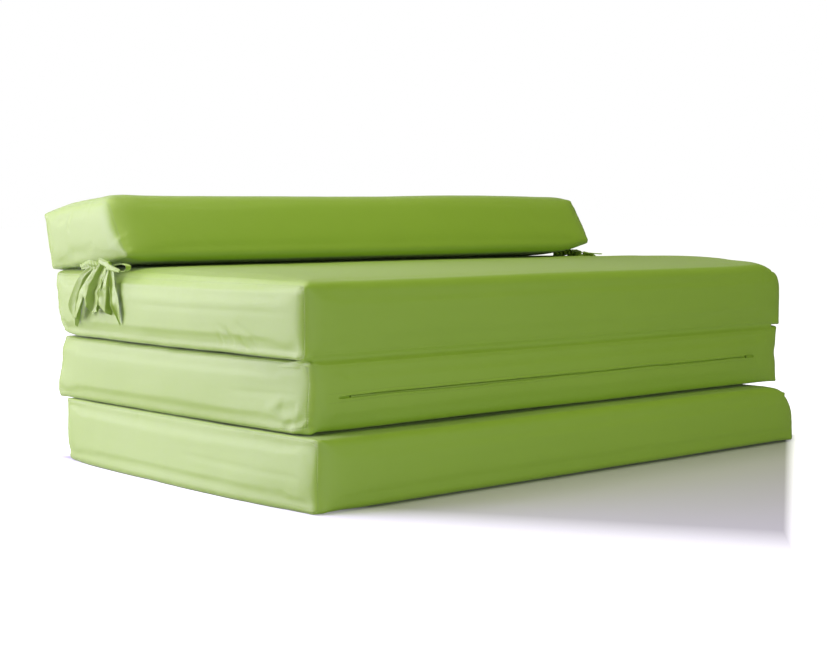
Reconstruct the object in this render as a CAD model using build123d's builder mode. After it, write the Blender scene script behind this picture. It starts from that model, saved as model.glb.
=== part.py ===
"""Fold-up foam sofa bed: three mattress panels stacked in a zigzag, with a leaning bolster as the backrest.

Each panel is a foam block in a sewn cotton cover with a zip. Fabric hinge strips join the panels, at the rear
between the bottom and middle panels and at the front between the middle and top ones, and a third strip
carries the bolster. Cloth ties at both ends hold the bolster down on the seat.

Millimetres. The front faces -Y, and +Z is up. The origin is on the floor, in the middle of the folded sofa.
"""

import os
from math import hypot, sqrt

from build123d import *

# Foam panels in their covers
width = 1120.0
panel_depth = 700.0
panel_thickness = 108.0
seat_crown = 4.0
wall_bulge = 3.0

# How the folded stack stands
panel_gap = 0.4
bottom_lead = 37.0

# Cover cloth and the room that the foam has in it
cloth = 1.0
foam_clearance = 0.3

# Rounding of the long edges, in the order front top, front bottom, rear bottom, rear top
bottom_edge_radii = (14.0, 9.0, 12.0, 12.0)
middle_edge_radii = (6.0, 14.0, 22.0, 12.0)
top_edge_radii = (12.0, 6.0, 26.0, 10.0)
bolster_edge_radii = (14.0, 18.0, 10.0, 14.0)

# Rounding of the ends: how far it runs in from the end, and how far each long face drops there,
# in the order front, bottom, rear, top
end_rounding = 26.0
panel_end_drops = (15.0, 11.0, 15.0, 17.0)
bolster_end_drops = (16.0, 12.0, 16.0, 20.0)
end_station_shares = (0.0, 0.1, 0.4, 1.0)

# Bolster, measured from the seat plane and the rear face of the top panel
bolster_depth = 234.0
bolster_front_height = 128.0
bolster_front_lift = 15.0
bolster_front_lean = 64.0
bolster_rear_height = 95.0
bolster_rear_foot = 16.0
bolster_overhang = 48.0
bolster_bulge = 4.0

# Hinges: room between two walls that meet when unfolded, and how far the folds lift the panels
unfolded_gap = 3.0
fold_lift = 0.8
strip_thickness = 1.0
strip_leg = 14.0
strip_sag = 3.0
strip_end_margin = 40.0
strip_clearance = 0.3
strip_bend_radius = 2.0

# Zips, one along a long wall of each cover
zip_end_margin = 85.0
slit_height = 3.0
tape_width = 14.0
tape_thickness = 0.8
tape_gap = 1.6
coil_width = 2.6
coil_thickness = 2.0
stop_length = 4.0
slider_length = 11.0
slider_wall = 1.2
slider_clearance = 0.3
neck_thickness = 1.0
neck_length = 4.0
pull_length = 22.0
pull_width = 5.0
pull_thickness = 2.0
pull_lift = 0.5
pull_hole_radius = 1.2
pivot_radius = 0.55
pivot_clearance = 0.08
groove_clearance = 1.0

# Cloth ties, measured from the rear face of the top panel, the seat plane and the end walls
tie_inset = 176.0
tie_height = 16.0
tie_clearance = 0.3
strap_width = 12.0
strap_thickness = 1.6
panel_strap_length = 40.0
bolster_strap_length = 68.0
knot_radius = 9.0
knot_length = 17.0
knot_bevel = 3.5
loop_length = 30.0
loop_height = 15.0
loop_width = 10.0
tail_thickness = 1.4
tail_root_width = 4.6
tail_root_fold = 1.0
tail_tip_width = 19.0
tail_tip_fold = 3.0

# How far back of the knot each tail ends, and how far below it
tail_reaches = (-38.0, -4.0, 26.0, 60.0, 96.0)
tail_drops = (66.0, 62.0, 92.0, 108.0, 92.0)


def moved_lines(corners, insets):
    """The four corners of an outline whose sides have each been moved inwards by their inset."""
    sides = []
    for (ay, az), (by, bz), inset in zip(corners, corners[1:] + corners[:1], insets):
        length = hypot(by - ay, bz - az)
        normal = ((az - bz) / length, (by - ay) / length)
        sides.append((normal, normal[0] * ay + normal[1] * az + inset))
    moved = []
    for (first, first_offset), (second, second_offset) in zip(sides[-1:] + sides[:-1], sides):
        turn = first[0] * second[1] - first[1] * second[0]
        moved.append(
            (
                (first_offset * second[1] - second_offset * first[1]) / turn,
                (first[0] * second_offset - second[0] * first_offset) / turn,
            )
        )
    return moved


def outline(plane, corners, bulges, radii):
    """A section of a cushion: four bulging sides between rounded corners."""
    with BuildSketch(plane) as section:
        with BuildLine():
            for (ay, az), (by, bz), bulge in zip(corners, corners[1:] + corners[:1], bulges):
                length = hypot(by - ay, bz - az)
                out_y, out_z = (bz - az) / length, (ay - by) / length
                if bulge > 0:
                    middle = ((ay + by) / 2 + out_y * bulge, (az + bz) / 2 + out_z * bulge)
                    ThreePointArc((ay, az), middle, (by, bz))
                else:
                    Line((ay, az), (by, bz))
        make_face()
        for (y, z), radius in zip(corners, radii):
            fillet(section.vertices().sort_by_distance((y, z))[0], radius)
    return section.sketch


# The bolster's side outline, as (y, z) from the seat plane at the rear face of the top panel
bolster_shape = [
    (bolster_front_lean - bolster_depth, bolster_front_height),
    (-bolster_depth, bolster_front_lift),
    (bolster_rear_foot, panel_gap),
    (bolster_overhang, bolster_rear_height),
]
panel_bulges = (wall_bulge, 0, wall_bulge, 0)
seat_bulges = (wall_bulge, 0, wall_bulge, seat_crown)
bolster_bulges = (bolster_bulge, 0, wall_bulge, bolster_bulge)
bolster_section = outline(Plane.YZ, bolster_shape, bolster_bulges, bolster_edge_radii)

# Places worked out from the sizes above, with the whole sofa centred on the origin
seat_y = (bottom_lead + wall_bulge - bolster_section.bounding_box().max.Y) / 2
seat_rear = seat_y + panel_depth / 2
seat_front = seat_y - panel_depth / 2
bottom_rear = seat_rear - bottom_lead
middle_z = panel_thickness + panel_gap
top_z = middle_z + panel_thickness + panel_gap
seat_z = top_z + panel_thickness

# Hinge axes, each half way between the two walls that meet when its fold is open
fold_room = wall_bulge + unfolded_gap / 2
rear_axis = (bottom_rear + bottom_lead / 2 + fold_room, panel_thickness + panel_gap / 2 + fold_lift)
front_axis = (seat_front - fold_room, top_z - panel_gap / 2 + fold_lift)
bolster_axis = (seat_rear + bolster_rear_foot / 2 + fold_room, seat_z + panel_gap / 2)


def panel_corners(front, base_z):
    """A mattress panel's side outline, from the front top corner down and round to the rear top one."""
    rear, top = front + panel_depth, base_z + panel_thickness
    return [(front, top), (front, base_z), (rear, base_z), (rear, top)]


# The long sides of every outline, in the order that its corners go round
side_names = ("front", "bottom", "rear", "top")

cushions = {
    "bottom": (panel_corners(seat_front - bottom_lead, 0), panel_bulges, bottom_edge_radii, panel_end_drops),
    "middle": (panel_corners(seat_front, middle_z), panel_bulges, middle_edge_radii, panel_end_drops),
    "top": (panel_corners(seat_front, top_z), seat_bulges, top_edge_radii, panel_end_drops),
    "bolster": (
        [(seat_rear + y, seat_z + z) for y, z in bolster_shape],
        bolster_bulges,
        bolster_edge_radii,
        bolster_end_drops,
    ),
}


def cushion(corners, bulges, radii, end_drops, shrink):
    """A foam cushion along X, from its side outline, with rounded ends. The shrink moves its skin inwards."""
    half = width / 2 - shrink
    inner_radii = [radius - shrink for radius in radii]
    stations = []
    for share in end_station_shares:
        drop_share = 1 - sqrt(1 - (1 - share) ** 2)
        insets = [shrink + drop * drop_share for drop in end_drops]
        plane = Plane.YZ.offset(half - end_rounding * share)
        stations.append(outline(plane, moved_lines(corners, insets), bulges, inner_radii))
    with BuildPart() as body:
        extrude(stations[-1], amount=end_rounding - half)
        loft(sections=stations, ruled=True)
        mirror(about=Plane.YZ)
    return body.part


def wall_plane(name, side):
    """The plane on the middle of one long wall: X along the sofa, Y up the wall and Z straight out of it."""
    corners, bulges = cushions[name][:2]
    walls = dict(zip(side_names, zip(corners, corners[1:] + corners[:1], bulges)))
    (ay, az), (by, bz), bulge = walls[side]
    length = hypot(by - ay, bz - az)
    out_y, out_z = (bz - az) / length, (ay - by) / length
    origin = (0, (ay + by) / 2 + out_y * bulge, (az + bz) / 2 + out_z * bulge)
    return Plane(origin=origin, x_dir=(-out_y, 0, 0), z_dir=(0, out_y, out_z))


# Lengths along each zip, and depths behind the outer face of its wall from the cloth inwards
zip_length = width - 2 * zip_end_margin
tape_front = cloth + foam_clearance
tape_back = tape_front + tape_thickness
coil_back = tape_back + coil_thickness
slider_back = coil_back + slider_clearance + slider_wall
coil_edge = tape_gap / 2 + coil_width
slider_travel = zip_length - 2 * stop_length - slider_length - 2 * slider_clearance
pin_height = pull_lift + pull_thickness / 2


def cover(name, wall):
    """The sewn cover of a cushion, with the slit of its zip."""
    form = cushions[name]
    with BuildPart() as shell:
        add(cushion(*form, 0))
        add(cushion(*form, cloth), mode=Mode.SUBTRACT)
    with BuildPart(wall) as slit:
        Box(zip_length - 2 * stop_length, slit_height, 2 * tape_front)
    return shell.part - slit.part


def foam(name, wall):
    """The foam block inside a cover, with the groove that its zip lies in."""
    with BuildPart(wall) as groove:
        Box(
            zip_length + 2 * groove_clearance,
            2 * (tape_gap / 2 + tape_width + groove_clearance),
            2 * (slider_back + groove_clearance),
        )
    return cushion(*cushions[name], tape_front) - groove.part


def zip_tapes(wall):
    """Two woven tapes behind the slit, with room between them for the slider's neck."""
    with BuildPart(wall) as tapes:
        with Locations((0, 0, -(tape_front + tape_back) / 2)):
            with GridLocations(0, tape_gap + tape_width, 1, 2):
                Box(zip_length, tape_width, tape_thickness)
    return tapes.part


def zip_coils(wall):
    """The two coils on the backs of the tapes, joined by a stop at each end."""
    with BuildPart(wall) as coils:
        with Locations((0, 0, -(tape_back + coil_back) / 2)):
            with GridLocations(0, tape_gap + coil_width, 1, 2):
                Box(zip_length, coil_width, coil_thickness)
            with GridLocations(zip_length - stop_length, 0, 2, 1):
                Box(stop_length, 2 * coil_edge, coil_thickness)
    return coils.part


def zip_slider(wall):
    """The slider at the closed end: a channel behind the coils, and a neck through the slit with the pin."""
    channel_width = 2 * (coil_edge + slider_clearance + slider_wall)
    channel_front = tape_back + slider_clearance
    with BuildPart(wall) as slider:
        with Locations((slider_travel / 2, 0, 0)):
            with Locations((0, 0, -(slider_back + channel_front) / 2)):
                Box(slider_length, channel_width, slider_back - channel_front)
                with Locations((0, 0, slider_wall)):
                    Box(
                        slider_length,
                        channel_width - 2 * slider_wall,
                        slider_back - channel_front,
                        mode=Mode.SUBTRACT,
                    )
            neck_top = pin_height + pull_thickness / 2
            with Locations((0, 0, (neck_top - slider_back) / 2)):
                Box(neck_length, neck_thickness, neck_top + slider_back)
            with Locations((0, 0, pin_height)):
                Cylinder(pivot_radius, pull_width, rotation=(90, 0, 0))
    return slider.part


def zip_pull(wall):
    """The pull, which lies on the cloth beyond the closed slider and turns on its pin."""
    slot_end = neck_length / 2 + 2 * slider_clearance
    with BuildPart(wall) as pull:
        with Locations((slider_travel / 2, 0, pin_height)):
            Cylinder(pull_thickness / 2, pull_width, rotation=(90, 0, 0))
            with Locations((pull_length / 2, 0, 0)):
                Box(pull_length, pull_width, pull_thickness)
            Cylinder(pivot_radius + pivot_clearance, pull_width, rotation=(90, 0, 0), mode=Mode.SUBTRACT)
            with Locations(((slot_end - pull_thickness) / 2, 0, 0)):
                Box(
                    slot_end + pull_thickness,
                    neck_thickness + 2 * slider_clearance,
                    pull_thickness,
                    mode=Mode.SUBTRACT,
                )
            with Locations((pull_length - pull_width / 2, 0, 0)):
                Cylinder(pull_hole_radius, pull_thickness, mode=Mode.SUBTRACT)
        upright = pull.edges().filter_by(Axis(wall.origin, wall.z_dir))
        fillet(upright.group_by(Axis(wall.origin, wall.x_dir))[-1], pull_width / 2 - pull_hole_radius / 2)
    return pull.part


def wall_stand(height_from_edge):
    """How far from the plane of a panel's wall a strip stands, at this height from the panel's edge."""
    half = panel_thickness / 2
    bulge = wall_bulge * (1 - ((half - height_from_edge) / half) ** 2)
    return bulge + strip_clearance + strip_thickness / 2


def hinge_strip(points):
    """A strip of cover cloth along X, through these points of its section."""
    length = width - 2 * strip_end_margin
    with BuildPart() as strip:
        with BuildSketch(Plane.YZ.offset(-length / 2)):
            with BuildLine():
                FilletPolyline(*points, radius=strip_bend_radius)
            trace(line_width=strip_thickness)
        extrude(amount=length)
    return strip.part


def rear_fold_hinge():
    """From the bottom panel's rear wall, under the middle panel's overhang, to that panel's rear wall."""
    low, high = bottom_edge_radii[3], middle_edge_radii[2]
    fold_z = panel_thickness
    return hinge_strip(
        (
            (bottom_rear + wall_stand(low + strip_leg), fold_z - low - strip_leg),
            (bottom_rear + wall_stand(low), fold_z - low / 2),
            (seat_rear, fold_z - strip_sag),
            (seat_rear + wall_stand(high), fold_z + high),
            (seat_rear + wall_stand(high + strip_leg), fold_z + high + strip_leg),
        )
    )


def front_fold_hinge():
    """Over the seam between the front walls of the middle and top panels, dipping in at the seam."""
    seam = top_z - panel_gap / 2
    edge = middle_edge_radii[0]
    reach = edge + strip_leg / 2
    return hinge_strip(
        (
            (seat_front - wall_stand(reach), seam - reach),
            (seat_front - wall_stand(edge), seam - edge),
            (seat_front, seam),
            (seat_front - wall_stand(edge), seam + edge),
            (seat_front - wall_stand(reach), seam + reach),
        )
    )


def bolster_hinge():
    """From the top panel's rear wall, round under the bolster's rear foot, to the bolster's rear wall."""
    edge, foot = top_edge_radii[3], bolster_edge_radii[2]
    lean = (bolster_overhang - bolster_rear_foot) / (bolster_rear_height - panel_gap)
    reach = foot + strip_leg
    foot_y = seat_rear + bolster_rear_foot
    return hinge_strip(
        (
            (seat_rear + wall_stand(edge + strip_leg), seat_z - edge - strip_leg),
            (seat_rear + wall_stand(edge), seat_z - edge),
            (foot_y + lean * foot + wall_stand(foot), seat_z + foot / 2),
            (foot_y + lean * reach + wall_stand(reach) + strip_clearance, seat_z + reach),
        )
    )


# Where the ties stand on the left-hand end, from the end wall outwards
end_wall_x = -width / 2
tie_y = seat_rear - tie_inset
tie_z = seat_z + tie_height
strap_x = end_wall_x - tie_clearance - strap_thickness / 2
knot_x = end_wall_x - tie_clearance - knot_length / 2


def tie_knot():
    """The knot, a barrel of cloth with bevelled ends."""
    with BuildPart(Plane.YZ.offset(knot_x)) as knot:
        with Locations((tie_y, tie_z)):
            Cylinder(knot_radius, knot_length)
            chamfer(knot.edges().filter_by(GeomType.CIRCLE), knot_bevel)
    return knot.part


def tie_loop():
    """The small loop in front of the knot, a band that turns back on itself."""
    centre_y = tie_y - knot_radius - tie_clearance - loop_length / 2
    with BuildPart() as loop:
        with BuildSketch(Plane.YZ.offset(knot_x - loop_width / 2)):
            with Locations((centre_y, tie_z)):
                Ellipse(loop_length / 2, loop_height / 2)
                Ellipse(
                    loop_length / 2 - tail_thickness,
                    loop_height / 2 - tail_thickness,
                    mode=Mode.SUBTRACT,
                )
        extrude(amount=loop_width)
    return loop.part


def panel_strap():
    """The strap from the top panel's end wall up to the knot."""
    with BuildPart(Plane.YZ.offset(strap_x)) as strap:
        with Locations((tie_y, tie_z - knot_radius - tie_clearance - panel_strap_length / 2)):
            Box(strap_width, panel_strap_length, strap_thickness)
    return strap.part


def bolster_strap():
    """The strap from the bolster's end wall forward to the knot."""
    start = tie_y + knot_radius + tie_clearance
    with BuildPart(Plane.YZ.offset(strap_x)) as strap:
        with Locations((start + bolster_strap_length / 2, tie_z + strap_width / 2)):
            Box(bolster_strap_length, strap_width, strap_thickness)
    return strap.part


def tail_section(plane, tail_width, fold):
    """One section of a tail: a strip of doubled cloth with a crease along its middle."""
    half = tail_width / 2
    with BuildSketch(plane) as section:
        with BuildLine():
            Polyline(
                (-half, 0),
                (0, fold),
                (half, 0),
                (half, tail_thickness),
                (0, fold + tail_thickness),
                (-half, tail_thickness),
                close=True,
            )
        make_face()
    return section.sketch


def tie_tails():
    """The hanging tails, fanned out from the knot in two layers over the end wall."""
    layer_depth = tail_tip_fold + tail_thickness + tie_clearance
    with BuildPart() as tails:
        for index, (back, drop) in enumerate(zip(tail_reaches, tail_drops)):
            length = hypot(back, drop)
            along = Vector(0, back / length, -drop / length)
            layer = strap_x - strap_thickness / 2 - tie_clearance - (index % 2) * layer_depth
            centre = Vector(layer, tie_y, tie_z)
            root = centre + along * (knot_radius + tie_clearance)
            tip = centre + along * length
            across = Vector(0, along.Z, -along.Y)
            sections = [
                tail_section(Plane(origin=root, x_dir=across, z_dir=along), tail_root_width, tail_root_fold),
                tail_section(Plane(origin=tip, x_dir=across, z_dir=along), tail_tip_width, tail_tip_fold),
            ]
            loft(sections=sections, ruled=True)
    return tails.part


def write(part, name):
    """Labels a finished piece and writes it under that name."""
    part.label = name
    export_step(part, os.path.join("parts", name + ".step"))


os.makedirs("parts", exist_ok=True)

# The wall that each zip lies on: the middle panel's is its front wall, and the others are rear walls
zip_walls = {"bottom": "rear", "middle": "front", "top": "rear", "bolster": "rear"}

for name, side in zip_walls.items():
    wall = wall_plane(name, side)
    write(cover(name, wall), name + "_cover")
    write(foam(name, wall), name + "_foam")
    write(zip_tapes(wall), name + "_zip_tapes")
    write(zip_coils(wall), name + "_zip_coils")
    write(zip_slider(wall), name + "_zip_slider")
    write(zip_pull(wall), name + "_zip_pull")

write(rear_fold_hinge(), "rear_fold_hinge")
write(front_fold_hinge(), "front_fold_hinge")
write(bolster_hinge(), "bolster_hinge")

tie_pieces = {
    "tie_knot": tie_knot(),
    "tie_loop": tie_loop(),
    "tie_tails": tie_tails(),
    "panel_strap": panel_strap(),
    "bolster_strap": bolster_strap(),
}
for name, piece in tie_pieces.items():
    write(piece, "left_" + name)
    write(mirror(piece, about=Plane.YZ), "right_" + name)

print("rear fold axis", rear_axis, "front fold axis", front_axis, "bolster axis", bolster_axis)
for name, side in zip_walls.items():
    wall = wall_plane(name, side)
    pin = wall.from_local_coords((slider_travel / 2, 0, pin_height))
    print(name, "zip pin", tuple(pin), "up the wall", tuple(wall.y_dir), "travel", slider_travel)
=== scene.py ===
"""The looks of a fold-up foam sofa bed in lime green cotton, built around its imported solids.

Metres, in the frame of the solids: the front faces -Y, +Z is up, and the origin is on the floor.
"""

import itertools
import math

import bmesh
import bpy
import numpy as np
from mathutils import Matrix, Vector
from mathutils.bvhtree import BVHTree


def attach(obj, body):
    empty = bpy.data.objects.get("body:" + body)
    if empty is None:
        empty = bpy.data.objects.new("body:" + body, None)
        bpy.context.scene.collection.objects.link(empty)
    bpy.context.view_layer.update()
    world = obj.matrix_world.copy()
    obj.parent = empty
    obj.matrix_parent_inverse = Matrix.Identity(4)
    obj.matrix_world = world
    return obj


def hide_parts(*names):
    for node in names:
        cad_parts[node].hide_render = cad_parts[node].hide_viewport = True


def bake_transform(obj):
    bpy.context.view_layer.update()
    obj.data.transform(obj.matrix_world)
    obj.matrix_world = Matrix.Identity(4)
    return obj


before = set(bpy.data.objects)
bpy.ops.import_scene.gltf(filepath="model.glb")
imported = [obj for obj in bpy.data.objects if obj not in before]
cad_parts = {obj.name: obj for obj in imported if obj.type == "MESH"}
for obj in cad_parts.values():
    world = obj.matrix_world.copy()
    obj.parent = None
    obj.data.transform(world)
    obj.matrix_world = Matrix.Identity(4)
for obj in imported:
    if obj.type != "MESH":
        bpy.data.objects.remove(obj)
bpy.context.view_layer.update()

scene = bpy.context.scene

# Sizes of the solids that the covers follow
half_width = 0.564
thickness = 0.108
seat_rear, seat_front = 0.34738, -0.35262
bottom_rear, bottom_front = 0.31038, -0.38962
middle_z, top_z, seat_z = 0.1084, 0.2168, 0.3248

wall_bulge = 0.003  # Rise of the solids' zip walls at their middle
voxel = 0.007  # Spacing of the remeshed covers, before their subdivision
puff_cap = 0.002  # Furthest that the cloth simulation moves a point
ear_height = 0.004
cloth_thickness, tape_thickness = 0.0007, 0.0006


# Working with objects, as by hand


def only(obj):
    """Leaves just this object selected and active."""
    bpy.ops.object.select_all(action="DESELECT")
    obj.select_set(True)
    bpy.context.view_layer.objects.active = obj


def apply_modifier(obj, kind, **settings):
    """Adds a modifier with these settings and applies it."""
    only(obj)
    modifier = obj.modifiers.new(kind.title(), kind)
    for key, value in settings.items():
        setattr(modifier, key, value)
    bpy.ops.object.modifier_apply(modifier=modifier.name)


def named(name):
    """The object that was just added, under its own name."""
    made = bpy.context.object
    made.name = made.data.name = name
    return made


def pick(obj, picked):
    """Opens the object in edit mode with just the picked vertices selected."""
    only(obj)
    bpy.ops.object.mode_set(mode="EDIT")
    bpy.ops.mesh.select_mode(type="VERT")
    bpy.ops.mesh.select_all(action="DESELECT")
    mesh = bmesh.from_edit_mesh(obj.data)
    for vertex in mesh.verts:
        vertex.select = picked(vertex.co)
    mesh.select_flush_mode()


def pull(obj, picked, move):
    """Moves the picked vertices of an object."""
    pick(obj, picked)
    bpy.ops.transform.translate(value=move)
    bpy.ops.object.mode_set(mode="OBJECT")


def points_of(obj, key="co"):
    """The object's vertices as an array."""
    flat = np.empty(len(obj.data.vertices) * 3)
    obj.data.vertices.foreach_get(key, flat)
    return flat.reshape(-1, 3)


def normals_of(obj):
    """The object's vertex normals as an array."""
    return points_of(obj, "normal")


def put_points(obj, points):
    """Writes the vertices back."""
    obj.data.vertices.foreach_set("co", points.ravel())
    obj.data.update()


def turn_outward(obj, flip=False):
    """Makes the faces' sides agree in edit mode, and turns them all round if asked."""
    only(obj)
    bpy.ops.object.mode_set(mode="EDIT")
    bpy.ops.mesh.select_all(action="SELECT")
    if flip:
        bpy.ops.mesh.flip_normals()
    else:
        bpy.ops.mesh.normals_make_consistent(inside=False)
    bpy.ops.object.mode_set(mode="OBJECT")


def mean_length(net, axis):
    """The mean length of a net's lines along one of its axes."""
    return np.linalg.norm(np.diff(net, axis=axis), axis=2).sum(axis=axis).mean()


def note(obj, name, values):
    """Keeps one number per vertex, for the material to read."""
    layer = obj.data.attributes.new(name, "FLOAT", "POINT")
    layer.data.foreach_set("value", values.astype(np.float32))


# Shapes of folds and creases


def ease(value, start, end):
    """0 before start, 1 after end, smooth between."""
    share = np.clip((value - start) / (end - start), 0, 1)
    return share * share * (3 - 2 * share)


def ripple(points, waves, seed):
    """Smooth noise from about -1 to 1, with this wave length along each axis."""
    rng = np.random.RandomState(seed)
    order = rng.permutation(256)
    order = np.concatenate([order, order, order])
    slopes = rng.normal(size=(256, 3))
    slopes /= np.linalg.norm(slopes, axis=1)[:, None]
    place = points / np.array(waves)
    cell = np.floor(place).astype(int)
    inside = place - cell
    cell &= 255
    blend = inside**3 * (inside * (inside * 6 - 15) + 10)
    total = np.zeros(len(points))
    for corner in itertools.product((0, 1), repeat=3):
        x, y, z = (cell + corner).T
        slope = slopes[order[order[order[x] + y] + z]]
        weight = np.where(corner, blend, 1 - blend).prod(axis=1)
        total += weight * (slope * (inside - corner)).sum(axis=1)
    return total * 1.5


def near_line(across, up, path):
    """How far each point is from a bent line, and its share along it."""
    best = np.full(len(across), 1e9)
    share = np.zeros(len(across))
    spans = [math.dist(a, b) for a, b in zip(path, path[1:])]
    done = 0
    for (ax, ay), (bx, by), span in zip(path, path[1:], spans):
        along = np.clip(((across - ax) * (bx - ax) + (up - ay) * (by - ay)) / span**2, 0, 1)
        away = np.hypot(across - ax - along * (bx - ax), up - ay - along * (by - ay))
        closer = away < best
        best = np.where(closer, away, best)
        share = np.where(closer, (done + along * span) / sum(spans), share)
        done += span
    return best, share


def crease(across, up, path, width, height):
    """A soft fold along a bent line that fades out at its ends. Negative heights are dents."""
    away, share = near_line(across, up, path)
    fade = np.clip(np.minimum(share, 1 - share) * 4, 0, 1)
    return height * np.exp(-((away / width) ** 2)) * fade * fade * (3 - 2 * fade)


# Cushions


def rounded_outline(corners, radii, steps=9):
    """A cushion's side outline as points with their lengths along it."""
    outline = []
    count = len(corners)
    for index, radius in enumerate(radii):
        corner = np.array(corners[index])
        before = np.array(corners[index - 1]) - corner
        after = np.array(corners[(index + 1) % count]) - corner
        before /= np.linalg.norm(before)
        after /= np.linalg.norm(after)
        bisector = before + after
        angle = math.acos(before @ after) / 2
        centre = corner + bisector / np.linalg.norm(bisector) * radius / math.sin(angle)
        start = corner + before * radius / math.tan(angle) - centre
        end = corner + after * radius / math.tan(angle) - centre
        swing = math.acos(np.clip(start @ end / radius**2, -1, 1))
        for step in range(steps + 1):
            share = step / steps
            outline.append(
                centre
                + (start * math.sin((1 - share) * swing) + end * math.sin(share * swing)) / math.sin(swing)
            )
    outline = np.array(outline + outline[:1])
    pieces = []
    for a, b in zip(outline, outline[1:]):
        cuts = max(1, int(np.linalg.norm(b - a) / 0.004))
        pieces += [a + (b - a) * cut / cuts for cut in range(cuts)]
    dense = np.array(pieces)
    lengths = np.linalg.norm(np.roll(dense, -1, axis=0) - dense, axis=1)
    return dense, np.concatenate([[0], np.cumsum(lengths)[:-1]])


def inside_distance(y, z, corners, radii):
    """How far inside the rounded outline each point is."""
    walls = []
    for (ay, az), (by, bz) in zip(corners, corners[1:] + corners[:1]):
        length = math.hypot(by - ay, bz - az)
        walls.append(((az - bz) * (y - ay) + (by - ay) * (z - az)) / length)
    depth = np.full(len(y), 1e9)
    for index, radius in enumerate(radii):
        first, second = walls[index - 1], walls[index]
        a, b = radius - first, radius - second
        corner = np.hypot(np.maximum(a, 0), np.maximum(b, 0)) + np.minimum(np.maximum(a, b), 0)
        depth = np.minimum(depth, radius - corner)
    return depth


def block(name, form):
    """A cube pulled to the cushion's outline and length, bevelled by each edge's radius and remeshed."""
    corners, radii, end_radii = form["corners"], form["radii"], form["end_radii"]
    bpy.ops.mesh.primitive_cube_add(size=1)
    made = named(name)
    for sign, end in zip((-1, 1), form["reach"]):
        pull(made, lambda co, s=sign: co.x * s > 0, (sign * (end - 0.5), 0, 0))
    for (y, z), start in zip(corners, ((-0.5, 0.5), (-0.5, -0.5), (0.5, -0.5), (0.5, 0.5))):
        pull(
            made,
            lambda co, s=start: abs(co.y - s[0]) < 1e-6 and abs(co.z - s[1]) < 1e-6,
            (0, y - start[0], z - start[1]),
        )
    weights = made.data.attributes.new("bevel_weight_edge", "FLOAT", "EDGE")
    widest = max(*radii, *end_radii)
    for edge in made.data.edges:
        a, b = (made.data.vertices[i].co for i in edge.vertices)
        ends = [min(range(4), key=lambda i: math.dist(corners[i], (p.y, p.z))) for p in (a, b)]
        if abs(a.x - b.x) > 0.5:
            radius = radii[ends[0]]
        else:
            radius = end_radii[min(ends) if abs(ends[0] - ends[1]) == 1 else 3]
        weights.data[edge.index].value = radius / widest
    apply_modifier(made, "BEVEL", limit_method="WEIGHT", width=widest, segments=5)
    apply_modifier(made, "REMESH", mode="VOXEL", voxel_size=voxel, use_smooth_shade=True)
    return made


def puff(cushion, cap):
    """Fills the cover: the cloth swells under pressure, and no point moves further than the cap."""
    before, ways = points_of(cushion), normals_of(cushion)
    only(cushion)
    cloth = cushion.modifiers.new("Cloth", "CLOTH")
    settings = cloth.settings
    settings.quality = 3
    settings.mass = 0.3
    settings.tension_stiffness = settings.compression_stiffness = 15
    settings.shear_stiffness = 8
    settings.bending_stiffness = 0.6
    settings.use_pressure = True
    settings.uniform_pressure_force = 4.0
    settings.effector_weights.gravity = 0
    cloth.collision_settings.use_collision = False
    for frame_number in range(1, 15):
        scene.frame_set(frame_number)
    bpy.ops.object.modifier_apply(modifier=cloth.name)
    scene.frame_set(1)
    move = points_of(cushion) - before
    sunk = np.minimum((move * ways).sum(axis=1), 0)
    move -= ways * (sunk * 0.85)[:, None]
    length = np.linalg.norm(move, axis=1)
    share = np.tanh(length / cap) * cap / np.maximum(length, 1e-9)
    put_points(cushion, before + move * share[:, None])


def fill_out(cushion, form):
    """The foam's own swell: fuller ends, a fuller wall where asked, and a crown over the top."""
    points, normals = points_of(cushion), normals_of(cushion)
    corners = np.array(form["corners"])
    low, high = corners.min(axis=0), corners.max(axis=0)
    across = np.clip((points[:, 1] - low[0]) / (high[0] - low[0]), 0, 1) * 2 - 1
    up = np.clip((points[:, 2] - low[1]) / (high[1] - low[1]), 0, 1) * 2 - 1
    length = np.clip(points[:, 0] / half_width, -1, 1)
    end_shape = (1 - np.abs(up) ** 3) * (1 - np.abs(across) ** 5)
    wall_shape = (1 - np.abs(up) ** 2.4) * (1 - np.abs(length) ** 14)
    crown_shape = (1 - np.abs(across) ** 3.2) * (1 - np.abs(length) ** 24)
    foot_shape = (1 - across**2) * ease(-up, -1.2, 1.0)
    foot_shape += 0.45 * np.clip(-across, 0, 1) ** 2 * ease(-up, -0.6, 1.0)
    swell = form["swell"]
    points[:, 0] += normals[:, 0] * (end_shape * swell["end"] + foot_shape * swell["foot"])
    points[:, 1] += np.maximum(normals[:, 1], 0) * (wall_shape + 0.35) * swell["rear"]
    points[:, 1] += np.minimum(normals[:, 1], 0) * wall_shape * swell["front"]
    points[:, 2] += np.maximum(normals[:, 2], 0) * crown_shape * swell["crown"]
    put_points(cushion, points)


def grab(cushion, moves):
    """Moves the cloth round each spot, as a grab brush does: (spot, reach along each axis, move)."""
    points = points_of(cushion)
    total = np.zeros_like(points)
    for spot, reach, move in moves:
        weight = np.exp(-(((points - spot) / reach) ** 2).sum(axis=1))
        total += weight[:, None] * np.array(move)
    put_points(cushion, points + total)


def soften(cushion, spot, reach):
    """Smooths the cloth round a spot."""
    pick(cushion, lambda co: sum(((c - s) / r) ** 2 for c, s, r in zip(co, spot, reach)) < 1)
    bpy.ops.mesh.vertices_smooth(factor=0.5, repeat=30)
    bpy.ops.object.mode_set(mode="OBJECT")


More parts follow.
